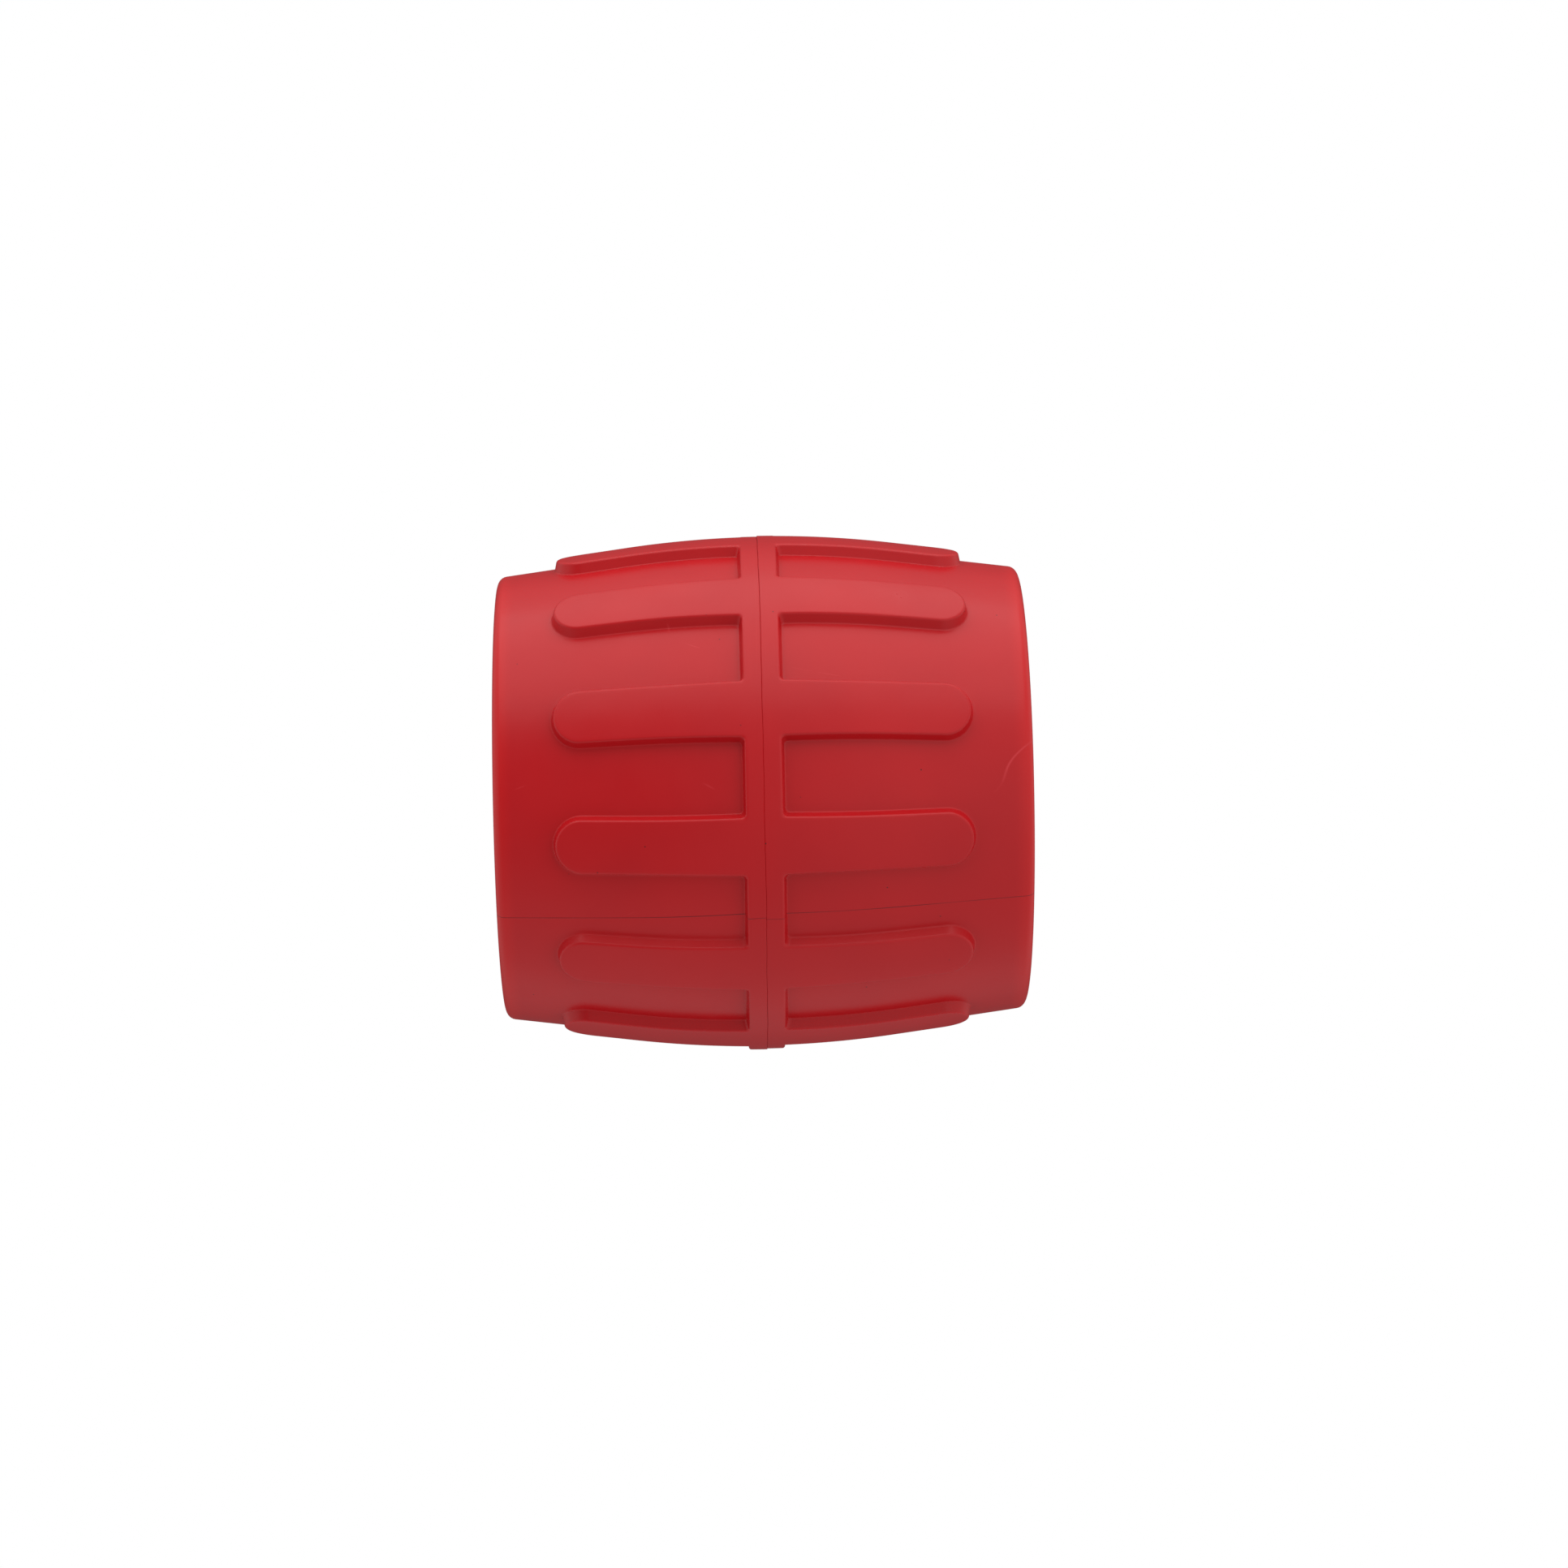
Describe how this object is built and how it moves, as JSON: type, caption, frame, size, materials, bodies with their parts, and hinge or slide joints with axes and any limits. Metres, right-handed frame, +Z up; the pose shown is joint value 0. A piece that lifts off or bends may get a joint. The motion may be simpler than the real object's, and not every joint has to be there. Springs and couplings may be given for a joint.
{
  "type": "water filled barrier drum",
  "caption": "Barrel-shaped water-ballasted traffic barrier drum with ribs and a raised band, a bore for a post, a screw-capped filler and a drain plug.",
  "frame": {"origin": "centre of the drum's foot, in the plane of its lower rim", "axes": "+Z up along the drum's axis; the drain faces +Y and the filler stands on the -Y side of the upper end"},
  "size_m": [0.5999, 0.6, 0.604],
  "materials": {
    "barrier_plastic": "satin, moulded",
    "fitting_plastic": "fine mould texture",
    "pipe_plastic": "drawn",
    "seal_rubber": "matte",
    "screw_steel": "zinc plated"
  },
  "bodies": {
    "drum": {"upper_shell": "barrier_plastic", "lower_shell": "barrier_plastic", "joint_ring": "barrier_plastic", "post_pipe": "pipe_plastic", "upper_pipe_seal": "seal_rubber", "lower_pipe_seal": "seal_rubber", "upper_bush": "fitting_plastic", "lower_bush": "fitting_plastic", "upper_bush_screws": "screw_steel", "lower_bush_screws": "screw_steel", "filler_neck": "fitting_plastic", "drain_socket": "fitting_plastic"},
    "gasket": {"cap_gasket": "seal_rubber"},
    "cap": {"filler_cap": "fitting_plastic"},
    "washer": {"drain_washer": "seal_rubber"},
    "plug": {"drain_plug": "fitting_plastic"}
  },
  "joints": [
    {"name": "cap_rise", "type": "slide", "parent": "drum", "child": "gasket", "axis": [0, 0, 1], "range_m": [0, 0.0136]},
    {"name": "cap_turn", "type": "hinge", "parent": "gasket", "child": "cap", "pos_m": [0, -0.14072, 0.559], "axis": [0, 0, 1], "range_deg": [0, 810]},
    {"name": "plug_rise", "type": "slide", "parent": "drum", "child": "washer", "axis": [0, 1, 0], "range_m": [0, 0.0166]},
    {"name": "plug_turn", "type": "hinge", "parent": "washer", "child": "plug", "pos_m": [0, 0.273, 0.046], "axis": [0, 1, 0], "range_deg": [0, 1980]}
  ],
  "couplings": [
    {"joint": "cap_rise", "follows": "cap_turn", "m_per_rad": 0.00095493},
    {"joint": "plug_rise", "follows": "plug_turn", "m_per_rad": 0.00047746}
  ]
}
